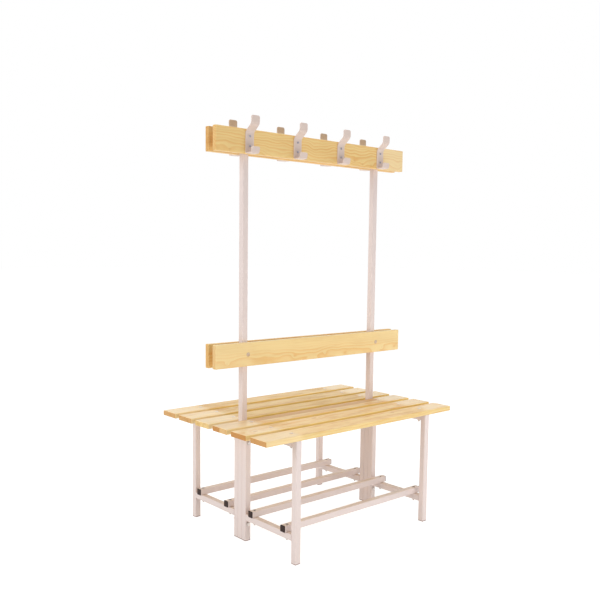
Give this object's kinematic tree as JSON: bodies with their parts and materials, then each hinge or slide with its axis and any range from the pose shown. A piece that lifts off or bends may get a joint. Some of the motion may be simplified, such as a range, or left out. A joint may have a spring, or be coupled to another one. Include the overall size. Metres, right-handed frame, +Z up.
{
  "type": "locker room bench",
  "caption": "Back-to-back slatted pine bench on a square steel tube frame, with backrest boards, boards of bent coat hooks on tall uprights and shoe rails under the seats.",
  "frame": {"origin": "middle of the footprint, on the floor", "axes": "+X along the slats, +Y from the front seat to the rear seat, +Z up"},
  "size_m": [1, 0.666, 1.605],
  "materials": {
    "pine": "clear satin varnish on planed pine",
    "powder_coat": "pale warm grey powder coat, satin",
    "hook_coat": "pale warm grey powder coat on bent strip",
    "zinc": "bright zinc plate",
    "black_plastic": "moulded black plastic",
    "foot_plastic": "moulded grey-brown plastic"
  },
  "bodies": {
    "root": {"seat_slat_front_1": "pine", "seat_slat_front_2": "pine", "seat_slat_front_3": "pine", "seat_slat_rear_1": "pine", "seat_slat_rear_2": "pine", "seat_slat_rear_3": "pine", "backrest_board_front": "pine", "backrest_board_rear": "pine", "hook_board_front": "pine", "hook_board_rear": "pine", "upright_left": "powder_coat", "upright_right": "powder_coat", "front_left_outer_leg": "powder_coat", "front_left_inner_leg": "powder_coat", "front_left_seat_bar": "powder_coat", "front_left_shelf_bar": "powder_coat", "front_right_outer_leg": "powder_coat", "front_right_inner_leg": "powder_coat", "front_right_seat_bar": "powder_coat", "front_right_shelf_bar": "powder_coat", "rear_left_outer_leg": "powder_coat", "rear_left_inner_leg": "powder_coat", "rear_left_seat_bar": "powder_coat", "rear_left_shelf_bar": "powder_coat", "rear_right_outer_leg": "powder_coat", "rear_right_inner_leg": "powder_coat", "rear_right_seat_bar": "powder_coat", "rear_right_shelf_bar": "powder_coat", "shoe_rail_front_inner": "powder_coat", "shoe_rail_front_outer": "powder_coat", "shoe_rail_rear_inner": "powder_coat", "shoe_rail_rear_outer": "powder_coat", "coat_hook_front_1": "hook_coat", "coat_hook_front_2": "hook_coat", "coat_hook_front_3": "hook_coat", "coat_hook_front_4": "hook_coat", "coat_hook_rear_1": "hook_coat", "coat_hook_rear_2": "hook_coat", "coat_hook_rear_3": "hook_coat", "coat_hook_rear_4": "hook_coat", "seat_bolts": "zinc", "seat_nuts": "zinc", "backrest_bolts": "zinc", "backrest_washers": "zinc", "backrest_cap_nuts": "zinc", "centre_bolts": "zinc", "centre_washers": "zinc", "centre_nuts": "zinc", "rail_bolts": "zinc", "rail_nuts": "zinc", "hook_screws_long": "zinc", "hook_screws_short": "zinc", "rail_end_plugs": "black_plastic", "upright_end_plugs": "black_plastic", "leg_feet": "foot_plastic", "upright_feet": "foot_plastic"}
  },
  "joints": []
}
